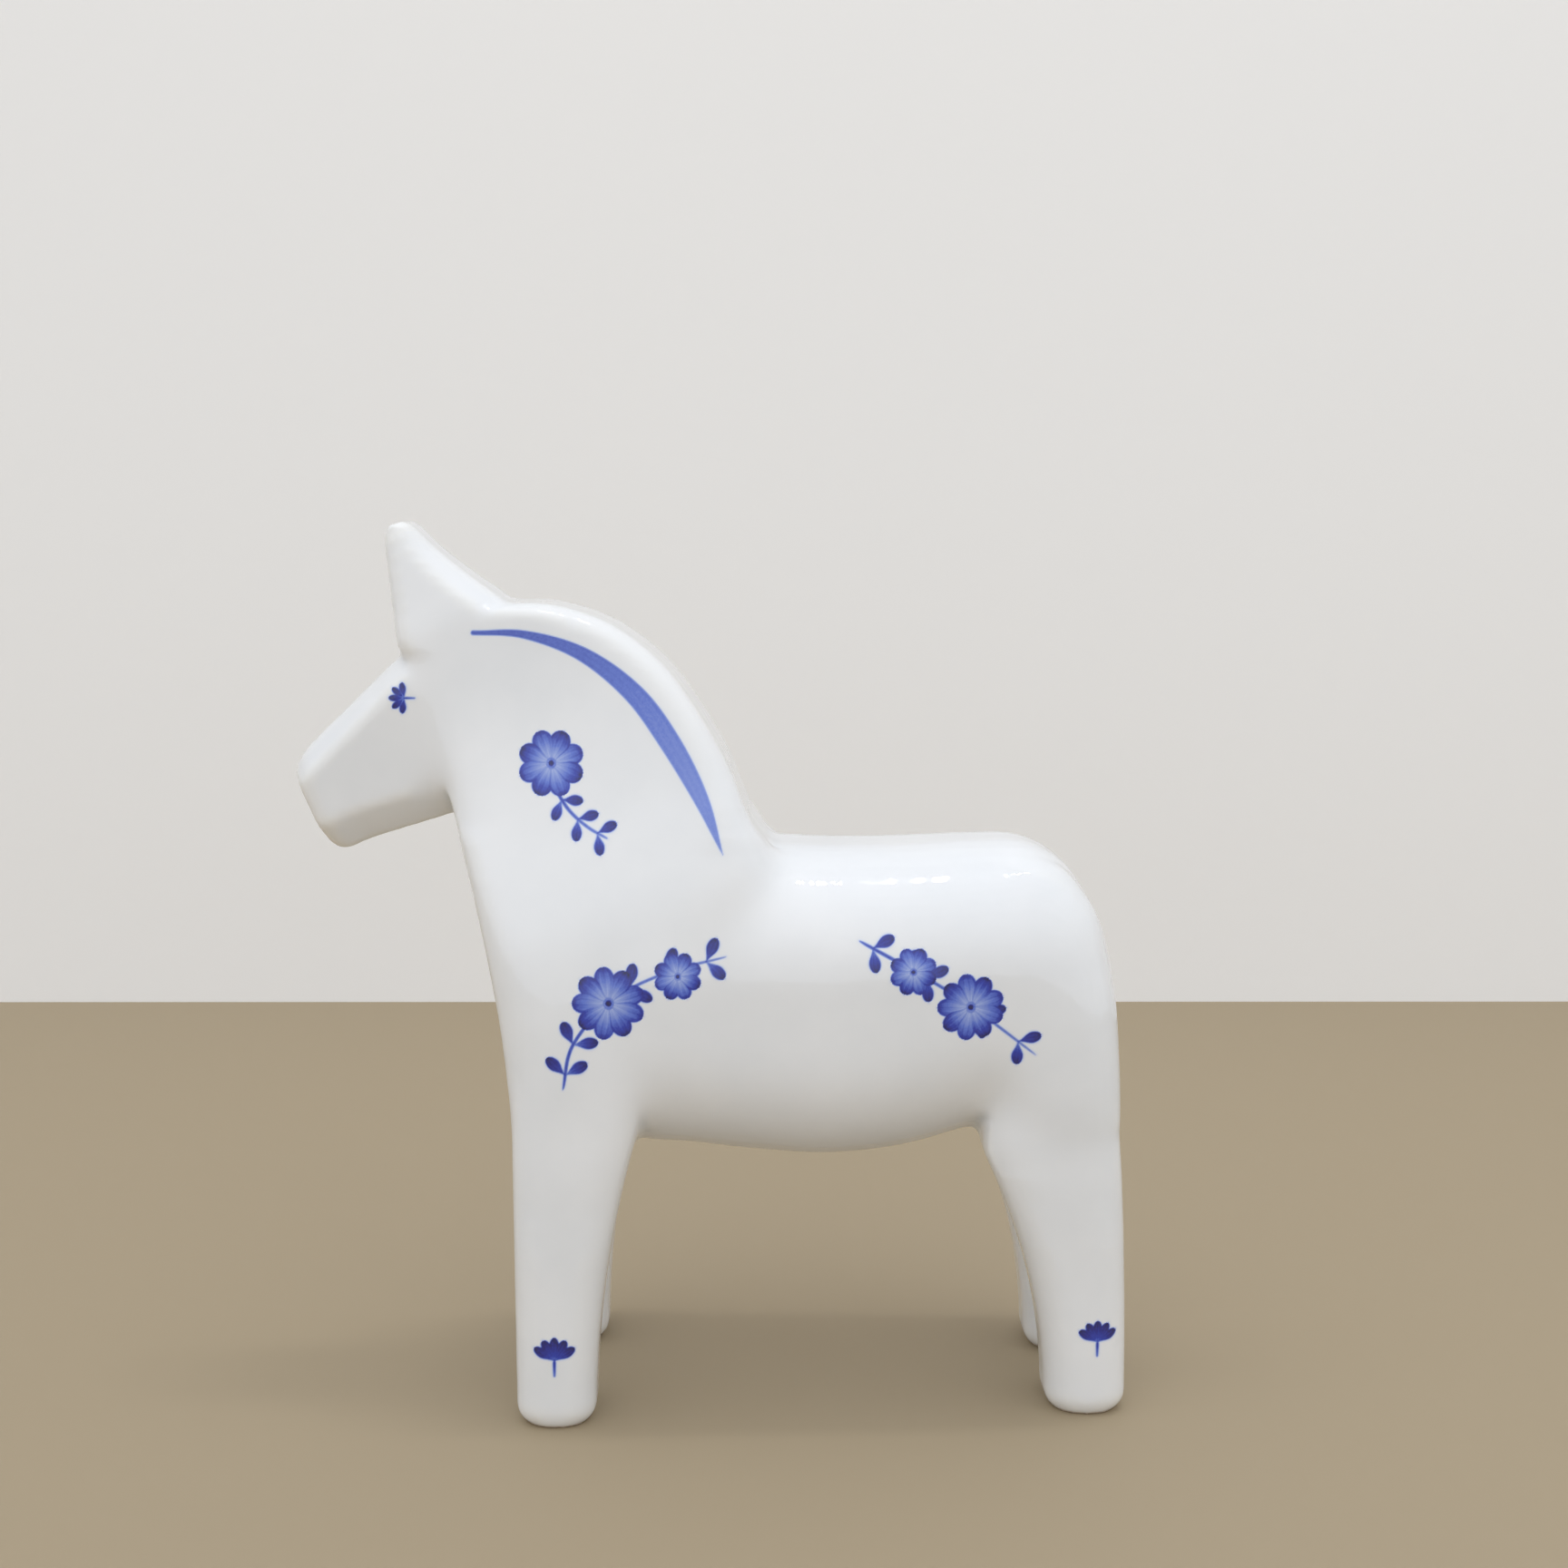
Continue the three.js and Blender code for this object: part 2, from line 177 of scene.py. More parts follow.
# barrel
loin = rear - 41
saddle = breast + 60
loft(form, [
    centred((x, low - 2.2), (x, high + 1.2), half, turn, turn) for x, low, high, half, turn in (
        (breast + 10, belly + 15, back - 12, SHOULDER - 6, BARREL_ROUND - 4),
        (breast + 28, belly + 5.5, back - 2, SHOULDER - 0.2, BARREL_ROUND),
        (breast + 44, belly + 3.4, back + 0.6, SHOULDER - 0.8, BARREL_ROUND),
        (saddle, belly + 1.2, back + 0.5, BARREL + 0.6, BARREL_ROUND),
        (saddle + 0.35 * (loin - saddle), belly, back - 0.2, BARREL, BARREL_ROUND),
        (saddle + 0.7 * (loin - saddle), belly + 2, back, BARREL, BARREL_ROUND),
        (loin, belly + 6, back + 0.8, HAUNCH + 0.7, BARREL_ROUND),
        (rear - 26, belly + 10, back + 0.7, HAUNCH, BARREL_ROUND),
        (rear - 15, belly + 15, back - 5, HAUNCH - 3, BARREL_ROUND - 2),
        (rear - 8, belly + 23, back - 15, HAUNCH - 9, BARREL_ROUND - 4),
    )
], 60)

# haunches
loft(form, [
    centred((rear - depth, z), (rear - inset, z), half, 8, turn) for z, depth, inset, half, turn in (
        (belly + 9, 28, 2.6, HAUNCH - 0.8, 9),
        (belly + 23, 34, 2.9, HAUNCH, 11),
        (back - 37, 36, 3.8, HAUNCH, 13),
        (back - 25, 36, 5.5, HAUNCH - 0.8, 15),
        (back - 17, 36, 7.5, HAUNCH - 2.6, 16),
        (back - 11, 36, 10.4, HAUNCH - 5.4, 16),
        (back - 4.2, 36, 15.8, HAUNCH - 10.5, 14),
        (back - 0.6, 36, 22, HAUNCH - 17, 10),
    )
], 50)

# head, from inside the neck to the flat end of the muzzle
throat_x = breast - 16.5
head_half = lambda share: POLL + (MUZZLE - POLL) * share
loft(form, [
    centred((breast - 15, poll - 5), (breast - 5, chin + 13.3), head_half(-0.1), 6, 8),
    centred((breast - 28.6, poll - 13.6), (throat_x, chin + 9.3), head_half(0.05), 5.5, 8.5),
    centred((breast - 36.2, poll - 20.6), (throat_x - 7, chin + 7), head_half(0.3), 5.5, 8.5),
    centred((breast - 43.2, poll - 27.5), (throat_x - 14, chin + 4.8), head_half(0.55), 5.5, 8.5),
    centred((nose + 5.8, poll - 33.6), (throat_x - 21, chin + 2.4), head_half(0.8), 5.5, 8.5),
    centred((nose + 2.2, poll - 37.6), (nose + 11.6, chin), head_half(1), 5.5, 8),
    centred((nose, poll - 42.2), (nose + 8, chin + 1.8), head_half(1) - 2, 4, 6),
], 40, facet=0.85)

# the ears, one plain block
ear_half = lambda share: POLL - 0.1 + (10.8 - POLL) * share
ear_at = lambda share: poll + share * (ear_tip - poll)
loft(form, [
    centred((breast - 25, poll - 16), (breast + 5, poll - 9), ear_half(0), 3, 4),
    centred((breast - 28.4, poll - 11), (breast - 2.5, poll), ear_half(0), 3, 5.5),
    centred((breast - 29.8, poll - 2), (breast - 12.2, ear_at(0.37)), ear_half(0.33), 3, 5.5),
    centred((breast - 31.1, ear_at(0.4)), (breast - 20, ear_at(0.69)), ear_half(0.66), 2.6, 4.5),
    centred((breast - 31.9, ear_at(0.76)), (breast - 25.2, ear_at(0.95)), ear_half(0.92), 2.2, 3),
    centred((breast - 31.2, ear_at(0.95)), (breast - 27.6, ear_tip + 0.3), ear_half(1.0), 1.6, 1.6),
], 50, facet=0.8)

# the four legs; each swells into the trunk at its top
SOLE_LENGTH = 20.2
SOLE_EDGE = 1.6
LEG_ROUND = 8.0
LEG_WIDTH = 24.4
for side in (-1, 1):
    for sole_front, low, top, toe, heel, swell in (
        (
            breast, fore_low, 1.45,
            lambda h: 0.6 * (h - 1),
            lambda h: 8 * h * h,
            lambda h: -2.6 * max(0, h - 1),
        ),
        (
            rear - SOLE_LENGTH, hind_low, 1.5,
            lambda h: 15.2 * min(h, 1.04) ** 2,
            lambda h: -2.2 * h * h,
            lambda h: 10 * max(0, h - 0.5) ** 2 - 16 * max(0, h - 0.5) ** 3,
        ),
    ):
        outer = -low.y
        inner = outer - LEG_WIDTH
        stations = []
        for step in range(31):
            height = top * step / 30
            tuck = SOLE_EDGE if step == 0 else 0.0
            stations.append((
                sole_front - toe(height) + tuck, height * belly,
                sole_front + SOLE_LENGTH + heel(height) - tuck, height * belly,
                side * (inner + tuck), side * (outer + swell(height) - tuck), LEG_ROUND, LEG_ROUND,
            ))
        loft(form, stations, 60)

bmesh.ops.recalc_face_normals(form, faces=form.faces)
bmesh.ops.scale(form, vec=(MM, MM, MM), verts=form.verts)
body_mesh = bpy.data.meshes.new("glazed_body")
form.to_mesh(body_mesh)
form.free()
blank = bpy.data.objects.new("body_form", body_mesh)
bpy.context.scene.collection.objects.link(blank)

# the firing vent, a short blind hole in the middle of the belly
VENT_RADIUS = 3 * MM
drill = bmesh.new()
bmesh.ops.create_cone(
    drill, cap_ends=True, segments=48, radius1=VENT_RADIUS, radius2=VENT_RADIUS, depth=16 * MM)
bmesh.ops.translate(drill, vec=((breast + 0.5 * (rear - breast)) * MM, 0, belly * MM), verts=drill.verts)
drill_mesh = bpy.data.meshes.new("vent_drill")
drill.to_mesh(drill_mesh)
drill.free()
vent = bpy.data.objects.new("vent_drill", drill_mesh)
bpy.context.scene.collection.objects.link(vent)

# the parts are luted into one skin, then sponged smooth
for step in ("luting", "vent", "sponging"):
    if step == "vent":
        hole = blank.modifiers.new(step, "BOOLEAN")
        hole.operation = "DIFFERENCE"
        hole.object = vent
    else:
        clay = blank.modifiers.new(step, "REMESH")
        clay.mode = "VOXEL"
        clay.voxel_size = 0.8 * MM
depsgraph = bpy.context.evaluated_depsgraph_get()
skin_mesh = bpy.data.meshes.new_from_object(blank.evaluated_get(depsgraph))
bpy.data.objects.remove(blank)
bpy.data.objects.remove(vent)
skin = bmesh.new()
skin.from_mesh(skin_mesh)


def sponge(vertices, sweeps):
    for sweep in range(sweeps):
        bmesh.ops.smooth_vert(
            skin, verts=vertices, factor=0.5, use_axis_x=True, use_axis_y=True, use_axis_z=True)


def widened(vertices, rings):
    for ring in range(rings):
        vertices = {n for v in vertices for e in v.link_edges for n in e.verts}
    return list(vertices)


sponge(skin.verts, 4)
sponge([v for v in skin.verts if v.co.z < (chin - 6) * MM or v.co.x > (breast + 14) * MM], 5)
# inner corners fill with slip, least of all about the head
for fill in range(3):
    skin.normal_update()
    inner = set()
    for edge in skin.edges:
        top = edge.verts[0].co.z / MM
        ahead = edge.verts[0].co.x / MM < rear - 60
        reach = fill == 0 or top < chin - 8 and (ahead or fill == 1)
        if reach and edge.calc_face_angle_signed(0) < -0.06:
            inner.update(edge.verts)
    sponge(widened(inner, 2), 14 if fill else 6)
# the flanks are rubbed into one surface, the shoulder and thigh most of all
skin.normal_update()
for rub in range(6):
    flank = []
    for vertex in skin.verts:
        x, z = vertex.co.x / MM, vertex.co.z / MM
        reach = x > breast - 6 + 2 * rub and 44 + 2 * rub < z < back + 12 - 3 * rub
        if reach and abs(vertex.normal.y) > 0.55 + 0.06 * rub:
            flank.append(vertex)
    sponge(flank, 14)
# where the belly runs out over the thigh
for rub in range(4):
    thigh = []
    for vertex in skin.verts:
        x, y, z = vertex.co / MM
        reach = abs(x - rear + 40) < 30 - 3 * rub and belly - 2 < z < belly + 36 - 3 * rub
        if reach and abs(vertex.normal.y) > 0.6 + 0.05 * rub:
            thigh.append(vertex)
    sponge(thigh, 12)
# where the neck runs down into the barrel, beside the withers
for rub in range(4):
    withers = []
    for vertex in skin.verts:
        x, y, z = vertex.co / MM
        reach = abs(x - breast - 58) < 26 - 3 * rub and back - 30 + 2 * rub < z < back + 6 - rub
        if reach and abs(y) > 13 + rub:
            withers.append(vertex)
    sponge(withers, 22)
# and where the cheek meets the neck
for rub in range(4):
    cheek = []
    for vertex in skin.verts:
        x, y, z = vertex.co / MM
        reach = abs(x - breast + 13) < 13 - rub and chin + 5 + rub < z < poll - 12
        if reach and abs(vertex.normal.y) > 0.6:
            cheek.append(vertex)
    sponge(cheek, 24)
for vertex in skin.verts:
    if vertex.co.z < 0.3 * MM:
        vertex.co.z = 0.0
skin.normal_update()
surface = BVHTree.FromBMesh(skin)
soft = skin.verts.layers.float_vector.new("soft")
bend = skin.verts.layers.float.new("bend")
for vertex in skin.verts:
    vertex[soft] = vertex.normal
    vertex[bend] = sum(edge.calc_face_angle_signed(0) for edge in vertex.link_edges)
for spread in range(4):
    around = [
        sum(edge.other_vert(v)[bend] for edge in v.link_edges) / len(v.link_edges) for v in skin.verts
    ]
    for vertex, value in zip(skin.verts, around):
        vertex[bend] = value
skin.to_mesh(skin_mesh)
skin.free()


def tint(code):
    """A linear colour from a six-digit colour code."""
    shades = [int(code[i:i + 2], 16) / 255 for i in (0, 2, 4)]
    return (*(c / 12.92 if c <= 0.04045 else ((c + 0.055) / 1.055) ** 2.4 for c in shades), 1)


def network(tree):
    """Short forms for adding a node and for wiring one socket to another."""

    def add(kind, **settings):
        node = tree.nodes.new(kind)
        for key, value in settings.items():
            if key in node.inputs:
                node.inputs[key].default_value = value
            else:
                setattr(node, key.lower(), value)
        return node

    def wire(start, end):
        tree.links.new(start, end)

    return add, wire


def ramp(node, stops):
    """Sets the stops of a colour ramp, each a place and a colour."""
    while len(node.color_ramp.elements) < len(stops):
        node.color_ramp.elements.new(1.0)
    for element, (place, colour) in zip(node.color_ramp.elements, stops):
        element.position = place
        element.color = colour
    return node


# white ware under clear glaze: a little uneven in tone and bluer where the glaze lies thick
ware = bpy.data.node_groups.new("white_ware", "ShaderNodeTree")
ware.interface.new_socket("Colour", in_out="OUTPUT", socket_type="NodeSocketColor")
ware.interface.new_socket("Roughness", in_out="OUTPUT", socket_type="NodeSocketFloat")
ware.interface.new_socket("Height", in_out="OUTPUT", socket_type="NodeSocketFloat")
add, wire = network(ware)
ends = add("NodeGroupOutput")
place = add("ShaderNodeTexCoord")
clouds = add("ShaderNodeTexNoise", Scale=26.0, Detail=4.0, Roughness=0.55)
wire(place.outputs["Object"], clouds.inputs["Vector"])
tone = ramp(add("ShaderNodeValToRGB"), [(0.3, tint("e6e9ed")), (0.7, tint("eff1f4"))])
wire(clouds.outputs["Fac"], tone.inputs["Fac"])
grain = add("ShaderNodeTexNoise", Scale=900.0, Detail=2.0)
wire(place.outputs["Object"], grain.inputs["Vector"])
shape = add("ShaderNodeAttribute", attribute_name="bend")
pooled = ramp(add("ShaderNodeValToRGB"), [(0.0, (1, 1, 1, 1)), (0.42, (0, 0, 0, 1))])
shifted = add("ShaderNodeMath", operation="MULTIPLY_ADD")
shifted.inputs[1].default_value = 1.1
shifted.inputs[2].default_value = 0.5
wire(shape.outputs["Fac"], shifted.inputs[0])
wire(shifted.outputs["Value"], pooled.inputs["Fac"])
blue = add("ShaderNodeMix", data_type="RGBA")
wire(tone.outputs["Color"], blue.inputs["A"])
blue.inputs["B"].default_value = tint("dfe4ea")
wire(pooled.outputs["Color"], blue.inputs["Factor"])
thin = ramp(add("ShaderNodeValToRGB"), [(0.62, (0, 0, 0, 1)), (1.0, (1, 1, 1, 1))])
wire(shifted.outputs["Value"], thin.inputs["Fac"])
warm = add("ShaderNodeMix", data_type="RGBA")
wire(blue.outputs["Result"], warm.inputs["A"])
warm.inputs["B"].default_value = tint("eff0f0")
wire(thin.outputs["Color"], warm.inputs["Factor"])
wire(warm.outputs["Result"], ends.inputs["Colour"])
under = add("ShaderNodeMapRange")
under.inputs["To Min"].default_value = 0.5
under.inputs["To Max"].default_value = 0.62
wire(grain.outputs["Fac"], under.inputs["Value"])
wire(under.outputs["Result"], ends.inputs["Roughness"])
swell = add("ShaderNodeTexNoise", Scale=55.0, Detail=2.0)
wire(place.outputs["Object"], swell.inputs["Vector"])
wire(swell.outputs["Fac"], ends.inputs["Height"])


def glazed(name):
    """A material of white ware whose coat is the clear glaze; returns it, its shader and its ware."""
    made = bpy.data.materials.new(name)
    made.use_nodes = True
    add, wire = network(made.node_tree)
    surface = made.node_tree.nodes["Principled BSDF"]
    body = add("ShaderNodeGroup", node_tree=ware)
    ripple = add("ShaderNodeBump", Strength=0.06, Distance=0.002)
    wire(body.outputs["Height"], ripple.inputs["Height"])
    wire(ripple.outputs["Normal"], surface.inputs["Coat Normal"])
    wire(body.outputs["Roughness"], surface.inputs["Roughness"])
    wire(body.outputs["Colour"], surface.inputs["Base Color"])
    surface.inputs["Coat Weight"].default_value = 1.0
    surface.inputs["Coat Roughness"].default_value = 0.03
    surface.inputs["Coat IOR"].default_value = 1.5
    return made, surface, body, add, wire


glaze = glazed("clear_glazed_porcelain")[0]

# the unglazed soles, fine dry porcelain with a faint rust line where the glaze was wiped off
bare = bpy.data.materials.new("bare_porcelain")
bare.use_nodes = True
add, wire = network(bare.node_tree)
surface_node = bare.node_tree.nodes["Principled BSDF"]
place = add("ShaderNodeTexCoord")
sand = add("ShaderNodeTexNoise", Scale=1400.0, Detail=3.0)
wire(place.outputs["Object"], sand.inputs["Vector"])
rust = ramp(add("ShaderNodeValToRGB"), [(0.3, tint("c9b8a6")), (0.7, tint("e2d8cb"))])
wire(sand.outputs["Fac"], rust.inputs["Fac"])
wire(rust.outputs["Color"], surface_node.inputs["Base Color"])
surface_node.inputs["Roughness"].default_value = 0.85
tooth = add("ShaderNodeBump", Strength=0.3, Distance=0.0002)
wire(sand.outputs["Fac"], tooth.inputs["Height"])
wire(tooth.outputs["Normal"], surface_node.inputs["Normal"])

# the skin is cut where the castings meet, so that each casting and each slip ring is its own piece
leg_top = fore_high.z
slope = math.atan2(30, 72)
neck_up = Vector((-math.sin(slope), 0, math.cos(slope)))
neck_joint = Vector((breast - 6, 0, back - 29))
up = Vector((0, 0, 1))
MIDWAY = 28 * MM


def casting(name, node, cuts, near=None, material=glaze):
    """The skin between the cuts, each a point and a normal that points out of the piece."""
    cast = bmesh.new()
    cast.from_mesh(skin_mesh)
    for point, outward in cuts:
        everything = [*cast.verts, *cast.edges, *cast.faces]
        bmesh.ops.bisect_plane(
            cast, geom=everything, plane_co=point * MM, plane_no=outward, clear_outer=True)
    if near:
        gone = [v for v in cast.verts if (v.co.x - MIDWAY) * near[0] < 0 or v.co.y * near[1] < 0]
        bmesh.ops.delete(cast, geom=gone, context="VERTS")
    soft = cast.verts.layers.float_vector["soft"]
    skin_faces = set(cast.faces)
    bmesh.ops.holes_fill(cast, edges=[e for e in cast.edges if e.is_boundary], sides=0)
    cast.normal_update()
    normals = []
    for face in cast.faces:
        face.smooth = True
        for corner in face.loops:
            normals.append(corner.vert[soft].normalized() if face in skin_faces else face.normal.copy())
    mesh = bpy.data.meshes.new(name)
    cast.to_mesh(mesh)
    cast.free()
    mesh.normals_split_custom_set(normals)
    made = bpy.data.objects.new(name, mesh)
    bpy.context.scene.collection.objects.link(made)
    mesh.materials.clear()
    mesh.materials.append(material)
    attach(made, "root")
    if node:
        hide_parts(node)


on_sole = Vector((0, 0, 0.55))
on_leg = Vector((0, 0, leg_top + 0.15))
on_slip = Vector((0, 0, leg_top + 1.25))
on_neck = neck_joint + 0.15 * neck_up
on_neck_slip = neck_joint + 1.25 * neck_up
casting("trunk_glazed", "trunk_casting", [(on_slip, -up), (on_neck, neck_up)])
casting("neck_joint_glazed", "neck_slip_joint", [(on_neck, -neck_up), (on_neck_slip, neck_up)])
casting("neck_head_glazed", "neck_head_casting", [(on_neck_slip, -neck_up)])
for end, fore in (("front", -1), ("hind", 1)):
    for name, side in (("left", -1), ("right", 1)):
        leg = f"leg_{end}_{name}"
        casting(f"{leg}_glazed", f"{leg}_casting", [(on_leg, up), (on_sole, -up)], (fore, side))
        casting(f"{leg}_joint_glazed", f"{leg}_slip_joint", [(on_leg, -up), (on_slip, up)], (fore, side))
        casting(f"{leg}_sole", None, [(on_sole, up)], (fore, side), bare)


# ---- The brush and the cobalt ----
# Cobalt blue painted on the biscuit ware with a loaded pointed brush, one stroke to a petal or a
# leaf, then covered by the glaze. It lies darkest where the brush lifts, and bleeds a little.
def eased(t):
    t = np.clip(t, 0, 1)
    return t * t * (3 - 2 * t)


def brush_width(shape, u):
    """How wide a stroke is, as a share of its full width, from its foot (0) to its tip (1)."""
    if shape == "line":
        return (1 - 0.3 * u) * np.sqrt(1 - (2 * u - 1) ** 8)
    if shape == "spot":
        return np.sqrt(1 - (2 * u - 1) ** 2)
    if shape == "stripe":
        return 0.82 * np.sin(math.pi * u ** 1.5) + 0.18 * (1 - u) ** 0.7
    if shape == "blade":
        return np.sin(math.pi * u) ** 0.75
    foot = 0.3 if shape == "petal" else 0.07
    swell = foot + (1 - foot) * eased(u / 0.62)
    return np.where(u < 0.62, swell, np.sqrt(np.clip(1 - ((u - 0.62) / 0.38) ** 2, 0, 1)))


def brushed(pigment, x, z, strokes, soft=0.42):
    """Lays strokes over the pigment at the points x, z and returns it."""
    for number, (shape, width, base, tip, rim, *path) in enumerate(strokes):
        reach = width / 2 + 1.2
        xs, zs = zip(*path)
        near = (x > min(xs) - reach - 1) & (x < max(xs) + reach + 1)
        near &= (z > min(zs) - reach - 1) & (z < max(zs) + reach + 1)
        if not near.any():
            continue
        length = sum(math.dist(a, b) for a, b in zip(path, path[1:]))
        u = np.linspace(0, 1, max(16, int(length / 0.12)))
        cx = np.array([blended(xs, t) for t in u])
        cz = np.array([blended(zs, t) for t in u])
        dx = x[near][:, None] - cx
        dz = z[near][:, None] - cz
        far = np.hypot(dx, dz)
        closest = far.argmin(axis=1)
        row = np.arange(len(closest))
        across = far[row, closest]
        tx, tz = np.gradient(cx)[closest], np.gradient(cz)[closest]
        hand = np.sign(tx * dz[row, closest] - tz * dx[row, closest])
        along = u[closest]
        half = width / 2 * brush_width(shape, u)[closest]
        share = np.clip(across / np.maximum(half, 0.05), 0, 1)
        inside = eased((half - across) / soft + 0.5)
        wet = eased(1 - (across - half) / 0.9) * 0.1 * tip
        bristle = 0.035 * np.sin(share * hand * 9 + number * 2.1 + along * 2)
        bristle += 0.025 * np.sin(share * hand * 21 + number)
        edge = np.maximum(share ** 4, eased((along - 0.78) / 0.22))
        streaks = 0.3 if shape == "stripe" else min(1, width / 2)
        tone = base + (tip - base) * eased(along) + rim * edge + bristle * streaks
        under = np.maximum(pigment[near], wet)
        pigment[near] = under + (np.clip(tone, 0, 1) - under) * inside
    return pigment


cobalt, cobalt_shader, cobalt_ware, add, wire = glazed("cobalt_under_glaze")
load = add("ShaderNodeAttribute", attribute_name="pigment")
place = add("ShaderNodeTexCoord")
grains = add("ShaderNodeTexNoise", Scale=1500.0, Detail=2.0, Roughness=0.6)
wire(place.outputs["Object"], grains.inputs["Vector"])
uneven = add("ShaderNodeMapRange")
uneven.inputs["To Min"].default_value = 0.86
uneven.inputs["To Max"].default_value = 1.14
wire(grains.outputs["Fac"], uneven.inputs["Value"])
amount = add("ShaderNodeMath", operation="MULTIPLY")
wire(load.outputs["Fac"], amount.inputs[0])
wire(uneven.outputs["Result"], amount.inputs[1])
blues = ramp(add("ShaderNodeValToRGB"), [
    (0.0, tint("cbd6f2")), (0.12, tint("b2c1ec")), (0.28, tint("8a9fe0")), (0.46, tint("5672d2")),
    (0.64, tint("1c35ae")), (0.82, tint("0d1787")), (1.0, tint("03032e")),
])
wire(amount.outputs["Value"], blues.inputs["Fac"])
cover = ramp(add("ShaderNodeValToRGB"), [(0.0, (0, 0, 0, 1)), (0.14, (1, 1, 1, 1))])
wire(load.outputs["Fac"], cover.inputs["Fac"])
painted_ware = add("ShaderNodeMix", data_type="RGBA")
wire(cover.outputs["Color"], painted_ware.inputs["Factor"])
wire(cobalt_ware.outputs["Colour"], painted_ware.inputs["A"])
wire(blues.outputs["Color"], painted_ware.inputs["B"])
wire(painted_ware.outputs["Result"], cobalt_shader.inputs["Base Color"])

FILM_ABOVE = 0.02 * MM
FILM_THICK = 0.05 * MM
CLEAR_OF_FLANK = 60 * MM
skin_corners = [list(polygon.vertices) for polygon in skin_mesh.polygons]
skin_points = [vertex.co.copy() for vertex in skin_mesh.vertices]
skin_normals = [Vector(item.vector) for item in skin_mesh.attributes["soft"].data]


def painted(name, centre, strokes, cell=0.2):
    """Paints the strokes, in mm around the centre, on both flanks as films that follow the skin."""
    xs = [centre[0] + point[0] for stroke in strokes for point in stroke[5:]]
    zs = [centre[1] + point[1] for stroke in strokes for point in stroke[5:]]
    margin = 1.2 + max(stroke[1] for stroke in strokes) / 2
    low_x, high_x, low_z, high_z = min(xs) - margin, max(xs) + margin, min(zs) - margin, max(zs) + margin
    strokes = [(*s[:5], *((centre[0] + x, centre[1] + z) for x, z in s[5:])) for s in strokes]
    for flank, side in (("left", -1), ("right", 1)):
        film = bmesh.new()
        pigment = film.verts.layers.float.new("pigment")
        soft = film.verts.layers.float_vector.new("soft")
        columns, rows = int((high_x - low_x) / cell), int((high_z - low_z) / cell)
        bmesh.ops.create_grid(film, x_segments=columns, y_segments=rows, size=1.0)
        x = np.array([low_x + (v.co.x + 1) / 2 * (high_x - low_x) for v in film.verts])
        z = np.array([low_z + (v.co.y + 1) / 2 * (high_z - low_z) for v in film.verts])
        loads = brushed(np.zeros(len(x)), x, z, strokes)
        for vertex, px, pz, value in zip(film.verts, x, z, loads):
            vertex.co = (px * MM, 0, pz * MM)
            vertex[pigment] = value
        bare_faces = [f for f in film.faces if max(v[pigment] for v in f.verts) < 0.004]
        bmesh.ops.delete(film, geom=bare_faces, context="FACES")
        for vertex in film.verts:
            outside = Vector((vertex.co.x, side * CLEAR_OF_FLANK, vertex.co.z))
            spot, facing, index, gap = surface.ray_cast(outside, Vector((0, -side, 0)))
            corners = skin_corners[index]
            weights = poly_3d_calc([skin_points[c] for c in corners], spot)
            normal = sum((skin_normals[c] * w for c, w in zip(corners, weights)), Vector()).normalized()
            vertex[soft] = normal
            vertex.co = spot + normal * FILM_ABOVE
        if side > 0:
            bmesh.ops.reverse_faces(film, faces=film.faces)
        under = list(film.faces)
        top = bmesh.ops.extrude_face_region(film, geom=under, use_keep_orig=True)["geom"]
        raised = {g for g in top if isinstance(g, bmesh.types.BMVert)}
        for vertex in film.verts:
            if vertex not in raised:
                vertex.co -= vertex[soft] * FILM_THICK
        bmesh.ops.reverse_faces(film, faces=under)
        hidden = set(under)
        normals = []
        for face in film.faces:
            face.smooth = True
            for corner in face.loops:
                normals.append(-corner.vert[soft] if face in hidden else corner.vert[soft].copy())
        mesh = bpy.data.meshes.new(f"{name}_{flank}")
        film.to_mesh(mesh)
        film.free()
        mesh.normals_split_custom_set(normals)
        made = bpy.data.objects.new(f"{name}_{flank}", mesh)
        bpy.context.scene.collection.objects.link(made)
        mesh.materials.append(cobalt)
        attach(made, "root")


# ---- The mane stripe ----
# One long pull of a broad brush beside the crest, from the poll to the withers: pressed in the
# middle, lifted to a point at both ends, and paler than the flowers. It keeps even with the crest.
INSET = (-6.5, -7.0)
crest = [
    (breast - 3, poll), (breast + 9.5, poll - 0.4), (breast + 23.5, poll - 5), (breast + 36, poll - 14.3),
    (breast + 45, back + 35.5), (breast + 52.7, back + 22), (breast + 57.8, back + 9.5),
]
painted("mane_stripe", INSET, [("stripe", 5.6, 0.56, 0.36, 0.04, *crest)], cell=0.25)


# ---- The eye sprig ----
# A plain fan of leaves below the ear that stands for the eye, laid in with the tip of the brush.
def fan(x, z, reach, leaves=5, spread=2.0, turn=math.pi / 2):
    """Strokes of an even fan of leaves about the direction turn, on a short stem."""
    foot = (x - 0.7 * reach * math.cos(turn), z - 0.7 * reach * math.sin(turn))
    strokes = [("line", 0.13 * reach, 0.7, 0.5, 0, (x, z), foot)]
    for number in range(leaves):
        angle = turn + spread * (number / (leaves - 1) - 0.5)
        tip = (x + reach * math.cos(angle), z + reach * math.sin(angle))
        strokes.append(("leaf", 0.4 * reach, 0.62, 0.9, 0.05, (x, z), tip))
    return strokes


painted("eye_sprig", (breast - 26.5, poll - 23.0), fan(0, 0, 3.8, spread=2.8, turn=math.pi))


